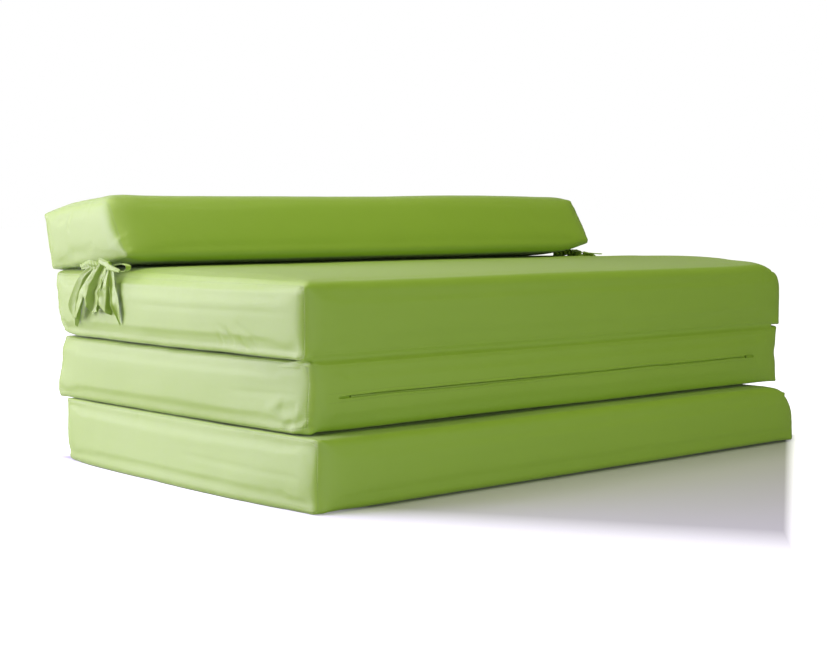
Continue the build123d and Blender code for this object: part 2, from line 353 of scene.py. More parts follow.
def round_off(cushion, centre, half, near):
    """Draws the right-hand top edge in to an ellipse about this centre (x, z), where the foam has slumped."""
    points = points_of(cushion)
    u, v = (points[:, 0] - centre[0]) / half[0], (points[:, 2] - centre[1]) / half[1]
    corner = (u > 0) & (v > 0)
    share = np.maximum(u, v) / np.maximum(np.hypot(u, v), 1e-6)
    share = 1 + (share - 1) * ease(-points[:, 1], *near)
    points[:, 0] = np.where(corner, centre[0] + u * share * half[0], points[:, 0])
    points[:, 2] = np.where(corner, centre[1] + v * share * half[1], points[:, 2])
    put_points(cushion, points)


def crispen(cushion, under, over):
    """Draws the ends' lower and upper edges out to the crispness of a sewn cover."""
    points, normals = points_of(cushion), normals_of(cushion)
    along, _, up = normals.T
    edge = 4 * along**2 * up**2 * np.where(up < 0, under, over)
    points += normals * edge[:, None] * (np.abs(points[:, 0]) > 0.5)[:, None]
    put_points(cushion, points)


def facing(normals, side):
    """How squarely each vertex looks towards a side of the sofa, from 0 to 1."""
    axis, sign = {"left": (0, -1), "right": (0, 1), "front": (1, -1)}[side]
    return ease(normals[:, axis] * sign, 0.45, 0.8)


def spread(points, side):
    """Each point's place along a side of the sofa, and its height."""
    return points[:, 0 if side == "front" else 1], points[:, 2]


def end_seams(cushion, corners, radii, reach, seam, seed):
    """The seam round each end: a thin ridge with puckers that fade out, noted for the material too."""
    points, normals = points_of(cushion), normals_of(cushion)
    near = np.nonzero(np.abs(points[:, 0]) > half_width - 0.075)[0]
    outline, lengths = rounded_outline(corners, radii)
    place = points[near]
    run = np.empty(len(near))
    for first in range(0, len(near), 4000):
        part = slice(first, first + 4000)
        gaps = ((place[part, None, 1:] - outline[None]) ** 2).sum(axis=2)
        run[part] = lengths[gaps.argmin(axis=1)]
    inner = inside_distance(place[:, 1], place[:, 2], corners, radii)
    outer = np.where(place[:, 0] < 0, reach[0], reach[1]) + 0.004 - np.abs(place[:, 0])
    wrap = inner - np.maximum(outer, -0.004)
    front_share = ease(-place[:, 1], -(corners[1][0] + 0.12), -(corners[1][0] + 0.01))
    line = seam[1] + (seam[0] - seam[1]) * front_share
    away = wrap - line
    side = np.where(place[:, 0] < 0, 0.0, 7.0)
    track = np.stack([run, side, side], axis=1)
    live = 0.45 + 0.55 * ease(ripple(track, (0.07, 1, 1), seed), -0.35, 0.5)
    ridge = 0.0005 * np.exp(-((away / 0.0032) ** 2)) * (0.7 + 0.5 * live)
    flank = -0.0003 * np.exp(-(((np.abs(away) - 0.009) / 0.006) ** 2))
    small = ripple(track, (0.011, 1, 1), seed + 1)
    broad = ripple(track, (0.028, 1, 1), seed + 2)
    pucker = 0.0008 * small * np.exp(-np.abs(away) / 0.008) * live
    pucker += 0.0009 * broad * np.exp(-np.abs(away) / 0.026) * live
    points[near] += normals[near] * (ridge + flank + pucker)[:, None]
    put_points(cushion, points)
    gap = np.full(len(points), 1.0)
    gap[near] = away
    note(cushion, "seam_gap", gap)
    along = np.zeros(len(points))
    along[near] = run
    note(cushion, "seam_run", along)


def ears(cushion, corners, radii, height, seed):
    """The little peaks where the end seams turn the corners."""
    points = points_of(cushion)
    rng = np.random.RandomState(seed)
    middle = np.mean(corners, axis=0)
    for sign in (-1, 1):
        for (y, z), radius in zip(corners, radii):
            inward = middle - (y, z)
            inward /= np.abs(inward)
            on_corner = np.array([y, z]) + inward * radius * 0.32
            spot = np.array([sign * (half_width - 0.003), *on_corner])
            out = np.array([sign * 0.75, -inward[0] * 0.5, -inward[1] * 0.35])
            reach = height * rng.uniform(0.5, 1.15)
            swell = np.exp(-(((points - spot) ** 2).sum(axis=1) / 0.0085**2))
            points += out * (swell * reach)[:, None]
    put_points(cushion, points)


def fold_cloth(cushion, folds):
    """Presses the listed soft folds and dents into the cloth: (side, path, width, height)."""
    points, normals = points_of(cushion), normals_of(cushion)
    lift = np.zeros(len(points))
    for side, path, width, height in folds:
        across, up = spread(points, side)
        lift += crease(across, up, path, width, height) * facing(normals, side)
    put_points(cushion, points + normals * lift[:, None])


def loosen(cushion, seed):
    """The cloth's own slackness: long low waves all over, and shorter ones by the ends and edges."""
    points, normals = points_of(cushion), normals_of(cushion)
    long_wave = ripple(points, (0.31, 0.24, 0.16), seed) * 0.0016
    ends = np.exp(-(half_width - np.abs(points[:, 0])) / 0.09)
    short_wave = ripple(points, (0.05, 0.075, 0.045), seed + 3) * (0.00025 + 0.0009 * np.clip(ends, 0, 1))
    put_points(cushion, points + normals * (long_wave + short_wave)[:, None])


def rest_between(cushion, low, high, give=0.004):
    """Flattens the cushion where it lies on what is below it, and where the next one lies on it."""
    points = points_of(cushion)
    if low is not None:
        depth = np.maximum(low + give - points[:, 2], 0)
        points[:, 2] = np.where(depth > 0, low + give * np.exp(-depth / give), points[:, 2])
    if high is not None:
        depth = np.maximum(points[:, 2] - high + give, 0)
        points[:, 2] = np.where(depth > 0, high - give * np.exp(-depth / give), points[:, 2])
    put_points(cushion, points)


def wall_of(form):
    """The solids' wall that the zip lies on: its middle, its way up, its way out and its height."""
    sign, low, high = form["zip"]
    low, high = np.array(low), np.array(high)
    length = np.linalg.norm(high - low)
    up = (high - low) / length
    out = np.array([up[1], -up[0]]) * sign
    return (low + high) / 2 + out * wall_bulge, up, out, length


def zip_opening(cushion, form, seed):
    """The zip's opening: the cloth is drawn to the zip, and two lips meet over a thin dark slit."""
    middle, up, out, length = wall_of(form)
    left, right = form.get("slit", (0.474, 0.474))

    def local(points):
        offset = points[:, 1:] - middle
        return points[:, 0], offset @ up, offset @ out

    def slit_line(x):
        track = np.stack([x, x * 0 + 0.3, x * 0 + 0.6], axis=1)
        sag = -0.0022 * ease(-x, 0.1, 0.46) + 0.0008 * ease(x, 0.1, 0.4)
        broad, small = ripple(track, (0.16, 1, 1), seed), ripple(track, (0.045, 1, 1), seed + 1)
        return sag + broad * 0.0022 + small * 0.0006

    points = points_of(cushion)
    x, u, depth = local(points)
    outside = normals_of(cushion)[:, 1:] @ out
    wall = -wall_bulge * (2 * u / length) ** 2
    from_ends = np.minimum(x + left, right - x)
    drawn = np.exp(-((u / 0.024) ** 4)) * ease(from_ends, -0.05, 0.01) * ease(outside, 0.3, 0.7)
    points[:, 1:] += out * ((wall - depth) * drawn)[:, None]
    put_points(cushion, points)

    only(cushion)
    bpy.ops.object.mode_set(mode="EDIT")
    bpy.ops.mesh.select_mode(type="FACE")
    bpy.ops.mesh.select_all(action="DESELECT")
    mesh = bmesh.from_edit_mesh(cushion.data)
    for face in mesh.faces:
        centre = face.calc_center_median()
        offset = np.array([centre.y, centre.z]) - middle
        on_slit = abs(offset @ up) < 0.0075 and abs(offset @ out) < 0.006
        face.select = bool(on_slit) and -left < centre.x < right
    mesh.select_flush(True)
    bpy.ops.mesh.subdivide(number_cuts=3, smoothness=0)
    bpy.ops.object.mode_set(mode="OBJECT")

    points = points_of(cushion)
    x, u, depth = local(points)
    from_ends = np.minimum(x + left, right - x)
    live = (np.abs(depth) < 0.008) * ease(from_ends, -0.001, 0.012)
    track = np.stack([x, x * 0 + 0.9, x * 0], axis=1)
    gape = 0.5 + 0.5 * ripple(track, (0.13, 1, 1), seed + 2) + 0.25 * ripple(track, (0.04, 1, 1), seed + 3)
    wide = np.exp(-(((x + 0.25) / 0.17) ** 2))
    half_gap = 0.0005 + (0.0007 * np.clip(gape, 0, 1.2) + 0.0011 * wide)
    away = u - slit_line(x)
    inside = 1 - ease(np.abs(away), half_gap * 0.75, half_gap * 0.75 + 0.0007)
    lip = 0.0007 * np.exp(-(((np.abs(away) - half_gap - 0.0017) / 0.0013) ** 2))
    step = 0.00045 * np.tanh(away / 0.001) * np.exp(-((away / 0.009) ** 2))
    points[:, 1:] += out * ((lip + step - 0.0052 * inside) * live)[:, None]
    put_points(cushion, points)
    gap = np.where(np.abs(depth) < 0.012, away, 1.0)
    gap = np.where(from_ends < -0.02, 1.0, gap)
    note(cushion, "zip_gap", gap)


# Materials


def link_up(material):
    """The material's node tree, emptied, with its output node and a Principled shader."""
    material.use_nodes = True
    tree = material.node_tree
    tree.nodes.clear()
    output = tree.nodes.new("ShaderNodeOutputMaterial")
    shader = tree.nodes.new("ShaderNodeBsdfPrincipled")
    tree.links.new(shader.outputs[0], output.inputs[0])
    return tree, shader


def maths(tree, operation, *values, clamp=False):
    """A Math node: the values are numbers or sockets."""
    made = tree.nodes.new("ShaderNodeMath")
    made.operation = operation
    made.use_clamp = clamp
    for socket, value in zip(made.inputs, values):
        if isinstance(value, (int, float)):
            socket.default_value = value
        else:
            tree.links.new(value, socket)
    return made.outputs[0]


def times(tree, first, second):
    """The product of two numbers or sockets."""
    return maths(tree, "MULTIPLY", first, second)


def bell(tree, value):
    """1 where the value is 0, and falling off on both sides as exp(-value squared) does."""
    return maths(tree, "EXPONENT", times(tree, times(tree, value, value), -1.0))


def fill_in(node, values):
    """Sets a node's inputs by their names."""
    for name, value in values.items():
        node.inputs[name].default_value = value


def noise(tree, place, scale, detail=2.0, roughness=0.5, distortion=0.0):
    """A Noise texture's grey value."""
    made = tree.nodes.new("ShaderNodeTexNoise")
    fill_in(made, {"Scale": scale, "Detail": detail, "Roughness": roughness, "Distortion": distortion})
    tree.links.new(place, made.inputs["Vector"])
    return made.outputs["Fac"]


def stretched(tree, place, scale):
    """The place with each axis scaled."""
    made = tree.nodes.new("ShaderNodeMapping")
    made.inputs["Scale"].default_value = scale
    tree.links.new(place, made.inputs["Vector"])
    return made.outputs[0]


def axes_of(tree, place):
    """A vector's three parts."""
    made = tree.nodes.new("ShaderNodeSeparateXYZ")
    tree.links.new(place, made.inputs[0])
    return made.outputs


def attribute(tree, name):
    """A number kept on the mesh."""
    made = tree.nodes.new("ShaderNodeAttribute")
    made.attribute_name = name
    return made.outputs["Fac"]


def mixed(tree, factor, first, second):
    """Two colours mixed. Each is a tuple or a socket."""
    made = tree.nodes.new("ShaderNodeMix")
    made.data_type = "RGBA"
    tree.links.new(factor, made.inputs["Factor"])
    for socket, value in ((made.inputs["A"], first), (made.inputs["B"], second)):
        if isinstance(value, tuple):
            socket.default_value = (*value, 1)
        else:
            tree.links.new(value, socket)
    return made.outputs["Result"]


def bumped(tree, height, strength, distance, under=None):
    """A Bump node's normal."""
    made = tree.nodes.new("ShaderNodeBump")
    fill_in(made, {"Strength": strength, "Distance": distance})
    tree.links.new(height, made.inputs["Height"])
    if under is not None:
        tree.links.new(under, made.inputs["Normal"])
    return made.outputs[0]


def cotton(name, colour, deep, sewn=False, thread=0.00042):
    """Plain-woven cotton: warp and weft by the way each face looks, slubs, and slight changes of tone.

    Sewn covers also show their end seams and the stitch rows beside their zips, with painted shade darkening
    the seam grooves and the stitch rows."""
    material = bpy.data.materials.new(name)
    tree, shader = link_up(material)
    coordinates = tree.nodes.new("ShaderNodeTexCoord")
    place = coordinates.outputs["Object"]
    split, looks = axes_of(tree, place), axes_of(tree, coordinates.outputs["Normal"])
    wobble = times(tree, noise(tree, place, 90, 1.0), 0.9)
    waves = []
    for axis in range(3):
        turn = maths(tree, "MULTIPLY_ADD", split[axis], math.pi / thread, wobble)
        waves.append(maths(tree, "SINE", turn))
    weave = None
    for axis in range(3):
        square = times(tree, looks[axis], looks[axis])
        cross = times(tree, waves[(axis + 1) % 3], waves[(axis + 2) % 3])
        term = times(tree, cross, square)
        weave = term if weave is None else maths(tree, "ADD", weave, term)
    slub = noise(tree, stretched(tree, place, (1, 1, 14)), 160, 2.0)
    tone = noise(tree, place, 7, 3.0, 0.6)
    mottle = maths(tree, "MULTIPLY_ADD", tone, 0.55, times(tree, slub, 0.25))
    fibre = maths(tree, "MULTIPLY_ADD", weave, 0.1, mottle)
    shade = mixed(tree, maths(tree, "MULTIPLY", fibre, 1.0, clamp=True), deep, colour)
    crumple = noise(tree, place, 22, 3.0, 0.55, 0.6)
    under = bumped(tree, crumple, 0.3, 0.0018)
    if sewn:
        gap = attribute(tree, "seam_gap")
        run = attribute(tree, "seam_run")
        groove = bell(tree, times(tree, gap, 1 / 0.0009))
        fade = maths(tree, "EXPONENT", times(tree, maths(tree, "ABSOLUTE", gap), -1 / 0.0035))
        drift = times(tree, tone, 14.0)
        gather = maths(tree, "SINE", maths(tree, "MULTIPLY_ADD", run, 2 * math.pi / 0.0046, drift))
        gather = times(tree, times(tree, gather, fade), 0.35)
        under = bumped(tree, maths(tree, "SUBTRACT", gather, groove), 0.6, 0.0006, under)
        zip_gap = maths(tree, "ABSOLUTE", attribute(tree, "zip_gap"))
        row = bell(tree, times(tree, maths(tree, "SUBTRACT", zip_gap, 0.0068), 1 / 0.0004))
        stitch = maths(tree, "SINE", times(tree, split[0], 2 * math.pi / 0.0032))
        stitch = times(tree, row, maths(tree, "MULTIPLY_ADD", stitch, 0.8, -0.5))
        under = bumped(tree, stitch, 0.4, 0.0003, under)
        # Painted shade: the base colour is darkened along the seam grooves and the stitch rows beside the
        # zips
        painted_seam_shade = times(tree, maths(tree, "MAXIMUM", times(tree, groove, 0.6), row), 0.28)
        shade = mixed(tree, painted_seam_shade, shade, tuple(c * 0.45 for c in deep))
    tree.links.new(shade, shader.inputs["Base Color"])
    threads = bumped(tree, weave, 0.5, 0.00012, under)
    tree.links.new(threads, shader.inputs["Normal"])
    fill_in(shader, {"Roughness": 0.5, "Specular IOR Level": 0.8})
    fill_in(shader, {"Sheen Weight": 0.15, "Sheen Roughness": 0.5})
    return material


lime, deep_lime = (0.250, 0.41, 0.018), (0.218, 0.369, 0.014)
cover_cotton = cotton("cover_cotton", lime, deep_lime, sewn=True)
band_cotton = cotton("band_cotton", lime, deep_lime)
tie_cotton = cotton("tie_cotton", lime, deep_lime, thread=0.0005)


def finish_with(obj, material):
    """Shades a piece smooth, and gives it its one material."""
    only(obj)
    bpy.ops.object.shade_smooth()
    obj.data.materials.clear()
    obj.data.materials.append(material)


# The four covered cushions, in metres:
# corners is the side outline from the front top corner down and round, and radii its corners' radii;
# end_radii are those of the end edges along the front, bottom, rear and top;
# reach is how far the left and right ends stand from the middle, and swell how far the foam stands proud;
# zip is the wall with the zip, as its facing sign, low corner and high corner, and slit the zip's two ends;
# grabs move the cloth round a spot, soft is a spot to smooth, and slump rounds off the right-hand top edge

cushions = {
    "bottom": dict(
        corners=[
            (bottom_front, thickness), (bottom_front - 0.003, 0.0),
            (bottom_rear + 0.005, 0.0), (bottom_rear + 0.003, thickness),
        ],
        radii=(0.010, 0.004, 0.008, 0.010),
        end_radii=(0.013, 0.004, 0.008, 0.006),
        reach=(0.570, 0.574),
        swell=dict(end=0.004, foot=0.010, rear=0.001, front=0.001, crown=0.0),
        zip=(1, (bottom_rear, 0.0), (bottom_rear, thickness)),
        grabs=[
            ((-0.57, -0.39, 0.108), (0.10, 0.14, 0.05), (0.009, 0, 0)),
            ((-0.57, -0.39, 0.0), (0.08, 0.10, 0.06), (0.009, 0, 0)),
            ((-0.57, -0.05, 0.0), (0.10, 0.30, 0.03), (-0.006, 0, 0)),
            ((-0.56, 0.315, 0.03), (0.12, 0.08, 0.10), (0, 0.004, 0)),
            ((-0.57, 0.315, 0.0), (0.05, 0.05, 0.025), (0.004, -0.006, 0.003)),
        ],
        soft=((-0.565, -0.392, 0.055), (0.04, 0.04, 0.046)),
        slump=((0.496, 0.050), (0.080, 0.058), (-0.1, 0.25)),
    ),
    "middle": dict(
        corners=[
            (seat_front, middle_z + thickness), (seat_front, middle_z),
            (seat_rear - 0.003, middle_z), (seat_rear - 0.004, middle_z + thickness),
        ],
        radii=(0.005, 0.008, 0.018, 0.010),
        end_radii=(0.012, 0.004, 0.008, 0.004),
        reach=(0.565, 0.572),
        swell=dict(end=0.008, foot=0.0, rear=0.005, front=0.001, crown=0.0),
        zip=(-1, (seat_front, middle_z), (seat_front, middle_z + thickness)),
        slit=(0.500, 0.468),
        grabs=[
            ((-0.57, -0.353, 0.185), (0.10, 0.16, 0.070), (0.020, 0, 0)),
            ((-0.562, -0.358, 0.112), (0.05, 0.030, 0.030), (0.013, 0, 0.002)),
            ((-0.57, 0.345, 0.130), (0.06, 0.06, 0.025), (-0.005, 0.005, -0.002)),
            ((-0.57, 0.345, 0.214), (0.05, 0.05, 0.014), (0.007, -0.004, 0)),
            ((0.575, -0.353, 0.165), (0.03, 0.15, 0.012), (-0.004, 0, 0)),
        ],
        soft=((-0.548, -0.355, 0.178), (0.04, 0.04, 0.034)),
    ),
    "top": dict(
        corners=[
            (seat_front, seat_z + 0.006), (seat_front, top_z),
            (seat_rear, top_z), (seat_rear + 0.005, seat_z + 0.005),
        ],
        radii=(0.011, 0.004, 0.022, 0.010),
        end_radii=(0.012, 0.004, 0.008, 0.015),
        reach=(0.567, 0.581),
        swell=dict(end=0.008, foot=0.0, rear=0.004, front=0.001, crown=0.006),
        zip=(1, (seat_rear, top_z), (seat_rear, seat_z)),
        grabs=[
            ((-0.57, -0.353, 0.27), (0.10, 0.18, 0.12), (0.010, 0, 0)),
            ((-0.57, 0.350, 0.312), (0.10, 0.08, 0.03), (0.0, 0.003, 0)),
            ((-0.57, 0.350, 0.216), (0.05, 0.05, 0.020), (0.007, -0.012, 0.004)),
            ((0.575, -0.15, 0.335), (0.08, 0.25, 0.04), (0, 0, 0.008)),
        ],
        soft=((-0.560, -0.355, 0.272), (0.04, 0.04, 0.044)),
        slump=((0.507, 0.283), (0.074, 0.058), (0.2, 0.345)),
    ),
    "bolster": dict(
        corners=[
            (seat_rear - 0.168, seat_z + 0.129), (seat_rear - 0.234, seat_z + 0.023),
            (seat_rear + 0.022, seat_z + 0.0045), (seat_rear + 0.051, seat_z + 0.105),
        ],
        radii=(0.016, 0.014, 0.010, 0.013),
        end_radii=(0.014, 0.006, 0.008, 0.015),
        reach=(0.563, 0.570),
        swell=dict(end=0.008, foot=0.0, rear=0.001, front=0.002, crown=0.006),
        zip=(1, (seat_rear + 0.016, seat_z + 0.0004), (seat_rear + 0.048, seat_z + 0.095)),
        grabs=[
            ((-0.57, 0.29, 0.445), (0.06, 0.11, 0.05), (0, 0, 0.006)),
            ((-0.575, 0.392, 0.427), (0.014, 0.014, 0.012), (-0.004, 0.007, 0.003)),
            ((-0.57, 0.365, 0.330), (0.05, 0.03, 0.02), (0, 0, -0.003)),
            ((0.35, 0.25, 0.45), (0.24, 0.2, 0.1), (0, 0, 0.005)),
            ((0.58, 0.125, 0.340), (0.06, 0.07, 0.05), (-0.006, 0.004, 0.016)),
            ((-0.57, 0.120, 0.345), (0.03, 0.04, 0.02), (0.004, 0.0, 0.008)),
        ],
        soft=((-0.565, 0.180, 0.435), (0.05, 0.05, 0.07)),
    ),
}
# Soft folds seen in the cloth: (side, path, width, height)
folds = {
    "bottom": [
        ("left", [(-0.38, 0.048), (-0.22, 0.051), (-0.05, 0.054)], 0.004, -0.0007),
        ("right", [(-0.38, 0.05), (-0.1, 0.055)], 0.005, -0.0008),
    ],
    "middle": [
        ("left", [(-0.351, 0.166), (-0.26, 0.163), (-0.17, 0.162)], 0.003, -0.0007),
        ("left", [(-0.352, 0.131), (-0.332, 0.117), (-0.312, 0.110)], 0.005, 0.0028),
        ("left", [(-0.335, 0.150), (-0.300, 0.140), (-0.285, 0.150)], 0.010, -0.0022),
        ("left", [(-0.322, 0.128), (-0.300, 0.112)], 0.007, -0.0022),
        ("left", [(-0.335, 0.175), (-0.326, 0.148), (-0.328, 0.128)], 0.004, 0.0010),
        ("left", [(-0.300, 0.160), (-0.262, 0.137)], 0.009, 0.0012),
        ("front", [(0.480, 0.147), (0.493, 0.168)], 0.0016, -0.0014),
        ("front", [(0.493, 0.168), (0.504, 0.147)], 0.0016, -0.0014),
        ("right", [(-0.34, 0.15), (-0.2, 0.155)], 0.006, -0.001),
    ],
    "top": [
        ("left", [(0.12, 0.282), (-0.09, 0.282), (-0.25, 0.284), (-0.347, 0.284)], 0.004, -0.0008),
        ("left", [(-0.149, 0.266), (-0.178, 0.246), (-0.212, 0.228), (-0.25, 0.221)], 0.0045, -0.0013),
        ("left", [(-0.195, 0.268), (-0.222, 0.252), (-0.262, 0.236)], 0.004, -0.0009),
        ("left", [(-0.165, 0.242), (-0.205, 0.222)], 0.004, -0.0008),
        ("left", [(-0.152, 0.252), (-0.163, 0.226)], 0.0035, -0.0012),
        ("left", [(-0.173, 0.260), (-0.190, 0.228)], 0.0035, -0.0013),
        ("left", [(-0.204, 0.248), (-0.221, 0.221)], 0.0035, -0.0013),
        ("left", [(-0.229, 0.246), (-0.249, 0.221)], 0.0035, -0.0011),
        ("left", [(0.350, 0.262), (0.336, 0.243), (0.318, 0.230)], 0.006, -0.0030),
        ("left", [(0.335, 0.262), (0.315, 0.240)], 0.007, 0.0016),
        ("right", [(-0.3, 0.28), (0.1, 0.285)], 0.006, -0.001),
    ],
    "bolster": [
        ("left", [(0.289, 0.430), (0.295, 0.410), (0.291, 0.390)], 0.004, -0.0014),
        ("left", [(0.205, 0.444), (0.181, 0.437), (0.158, 0.430)], 0.005, -0.0022),
        ("left", [(0.20, 0.380), (0.24, 0.366), (0.30, 0.360)], 0.009, -0.0012),
    ],
}
# Where each end seam runs, beyond the middle of the edge towards the end's face: near the front, elsewhere
seams = {"bottom": (0.003, 0.002), "middle": (0.005, 0.003), "top": (0.0, 0.001), "bolster": (0.001, 0.002)}
# The heights between which each cushion lies flat
rests = {"bottom": (0.0, 0.1081), "middle": (0.1085, 0.2165), "top": (0.2169, None), "bolster": (None, None)}
# How far the ends' lower and upper edges are drawn out
crisp = {"bottom": (0.006, 0.005), "middle": (0.005, 0.003), "top": (0.0055, 0), "bolster": (0.002, 0)}

dressed = {}
for seed, (name, form) in enumerate(cushions.items()):
    corners, radii = form["corners"], form["radii"]
    cushion = block(name + "_cushion", form)
    puff(cushion, puff_cap)
    fill_out(cushion, form)
    rest_between(cushion, *rests[name])
    apply_modifier(cushion, "SUBSURF", levels=1, render_levels=1)
    loosen(cushion, 10 * seed)
    crispen(cushion, *crisp[name])
    end_seams(cushion, corners, radii, form["reach"], seams[name], 10 * seed + 4)
    ears(cushion, corners, radii, ear_height, seed)
    fold_cloth(cushion, folds[name])
    grab(cushion, form["grabs"])
    soften(cushion, *form["soft"])
    if "slump" in form:
        round_off(cushion, *form["slump"])
    rest_between(cushion, *rests[name], give=0.001)
    zip_opening(cushion, form, 10 * seed + 7)
    finish_with(cushion, cover_cotton)
    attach(cushion, name)
    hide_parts(name + "_cover", name + "_foam")
    dressed[name] = cushion

# Hinge strips: bands of the same cotton, drawn taut over the two walls that each one joins


def hinge_band(node, lower, upper, sign, low, high, reach, seed):
    """A band of cloth laid over two cushions' walls, front (sign -1) or rear, and sewn along both edges.

    It runs from the height low to high, and reaches this far to each side."""
    columns, rows = 220, 26
    bpy.ops.mesh.primitive_grid_add(x_subdivisions=columns, y_subdivisions=rows, size=1)
    band = named(node + "_band")
    grid = points_of(band)
    x, up = grid[:, 0] * 2 * reach, low + (grid[:, 1] + 0.5) * (high - low)
    depsgraph = bpy.context.evaluated_depsgraph_get()
    surfaces = [BVHTree.FromObject(dressed[name], depsgraph) for name in (lower, upper)]
    y = np.empty(len(x))
    for index, (px, pz) in enumerate(zip(x, up)):
        hits = [tree.ray_cast(Vector((px, sign, pz)), Vector((0, -sign, 0)))[0] for tree in surfaces]
        hits = [hit.y * sign for hit in hits if hit]
        y[index] = max(hits) if hits else -1.0
    order = np.lexsort((x.round(5), up.round(6)))
    floor = y[order].reshape(rows + 1, columns + 1)
    taut = floor.copy()
    for _ in range(60):
        taut[1:-1] = np.maximum(floor[1:-1], (taut[:-2] + taut[2:]) / 2 - 0.00004)
    taut[:, 1:-1] = (taut[:, :-2] + 2 * taut[:, 1:-1] + taut[:, 2:]) / 4
    taut = np.maximum(taut, floor)
    y[order] = taut.ravel()
    track = np.stack([x, up, x * 0], axis=1)
    share = (up - low) / (high - low)
    inward = np.minimum(np.minimum(share, 1 - share) * (high - low), reach - np.abs(x))
    slack = ripple(track, (0.06, 0.03, 1), seed) * 0.0002 - 0.0009 + 0.0014 * ease(inward, 0, 0.006)
    put_points(band, np.stack([x, sign * (y + slack), up], axis=1))
    turn_outward(band)
    if normals_of(band)[:, 1].mean() * sign < 0:
        turn_outward(band, flip=True)
    width = mean_length(points_of(band)[order].reshape(rows + 1, columns + 1, 3), 0)
    apply_modifier(band, "SOLIDIFY", thickness=cloth_thickness, offset=-1)
    finish_with(band, band_cotton)
    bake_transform(band)
    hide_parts(node)


hinge_band("front_fold_hinge", "middle", "top", -1, 0.2166 - 0.013, 0.2166 + 0.013, 0.553, 71)
hinge_band("rear_fold_hinge", "bottom", "middle", 1, 0.082, 0.146, 0.520, 72)
hinge_band("bolster_hinge", "top", "bolster", 1, 0.301, 0.352, 0.520, 73)

# Ties at both ends: pleated cotton tapes

tie_wall = 0.5755  # Where the end wall is behind them
flattest = 0.0006  # Nearest that a tape comes to the wall
knot_y, knot_out = 0.165, 0.0095
knot_z = {-1: 0.3405, 1: 0.3335}


def smooth_line(points, count):
    """Evenly numbered points on a smooth curve through the given ones."""
    points = np.array(points, float)
    padded = np.concatenate([[2 * points[0] - points[1]], points, [2 * points[-1] - points[-2]]])
    share = np.linspace(0, len(points) - 1 - 1e-9, count)
    index = share.astype(int)
    t = (share - index)[:, None]
    a, b, c, d = (padded[index + k] for k in range(4))
    return 0.5 * (2 * b + (c - a) * t + (2 * a - 5 * b + 4 * c - d) * t**2 + (3 * b - a - 3 * c + d) * t**3)


def tape(
    name, line, widths, pleats, depth, seed, side,
    across_x=False, cut=0.0, gathers=0.0, body="top", lowest=flattest, lean=0.0,
):
    """A cotton tape along a line of (out from the end wall, y, z), with pleats that open towards its tip.

    across_x lays its width along X, cut slants its tip, gathers ruck it, and lean turns it about its line."""
    rows, columns = 44, 18
    bpy.ops.mesh.primitive_grid_add(x_subdivisions=columns, y_subdivisions=rows, size=2)
    made = named(name)
    grid = points_of(made)
    v, s = grid[:, 0], (grid[:, 1] + 1) / 2
    centre = smooth_line(line, 4 * rows + 1)
    tangent = np.gradient(centre, axis=0)
    tangent /= np.linalg.norm(tangent, axis=1)[:, None]
    place = np.clip((s * 4 * rows).round().astype(int), 0, 4 * rows)
    outward = np.array([1.0, 0, 0])
    if across_x:
        across = np.tile(outward, (len(tangent), 1))
        lift = np.cross(tangent, across)
    else:
        across = np.cross(tangent, outward)
        across /= np.linalg.norm(across, axis=1)[:, None]
        lift = np.cross(across, tangent)
    cosine, sine = math.cos(lean), math.sin(lean)
    across, lift = across * cosine + lift * sine, lift * cosine - across * sine
    width = smooth_line([(w, 0, 0) for w in widths], 4 * rows + 1)[place, 0]
    rng = np.random.RandomState(seed)
    phase, twist = rng.uniform(0, 6.28), rng.uniform(-1.2, 1.2)
    turn = pleats * v / 2 + phase / 6.28 + twist * s * 0.12
    wave = 4 * np.abs(turn - np.floor(turn + 0.5)) - 1
    track = np.stack([v * 0.9, s * 5, np.full(len(s), 0.37)], axis=1)
    crumple = ripple(track, (1, 1, 1), seed + 5)
    rise = depth * (0.35 + 0.65 * s) * (wave + 0.8 * crumple)
    rise += gathers * np.sin(s * 46 + 2 * v + 2 * crumple)
    reach = width / 2 * v * (1 + 0.22 * crumple)
    tip = cut * v * np.clip((s - 0.75) * 4, 0, 1)
    points = centre[place] + across[place] * reach[:, None]
    points += lift[place] * rise[:, None]
    points += tangent[place] * tip[:, None]
    points[:, 0] = np.maximum(points[:, 0], lowest)
    points[:, 0] = side * (points[:, 0] + tie_wall)
    put_points(made, points)
    apply_modifier(made, "SOLIDIFY", thickness=tape_thickness, offset=0)
    apply_modifier(made, "SUBSURF", levels=1, render_levels=1)
    turn_outward(made)
    finish_with(made, tie_cotton)
    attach(made, body)
    return made


def knot(name, side):
    """The knot: a pressed ball of cloth with the tape's wraps round it."""
    bpy.ops.mesh.primitive_uv_sphere_add(segments=48, ring_count=28, radius=1)
    made = named(name)
    ball = points_of(made)
    turn = np.arctan2(ball[:, 2], ball[:, 0])
    wraps = np.sin(ball[:, 1] * 9 + 1.2 * np.sin(turn * 2)) * 0.10
    wraps += ripple(ball, (0.5, 0.5, 0.5), 31) * 0.22
    ball = ball * (1 + wraps)[:, None] * (0.0085, 0.0105, 0.0085)
    ball += (knot_out, knot_y, knot_z[side])
    ball[:, 0] = side * (ball[:, 0] + tie_wall - 0.010)
    put_points(made, ball)
    turn_outward(made)
    finish_with(made, tie_cotton)
    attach(made, "top")
    return made


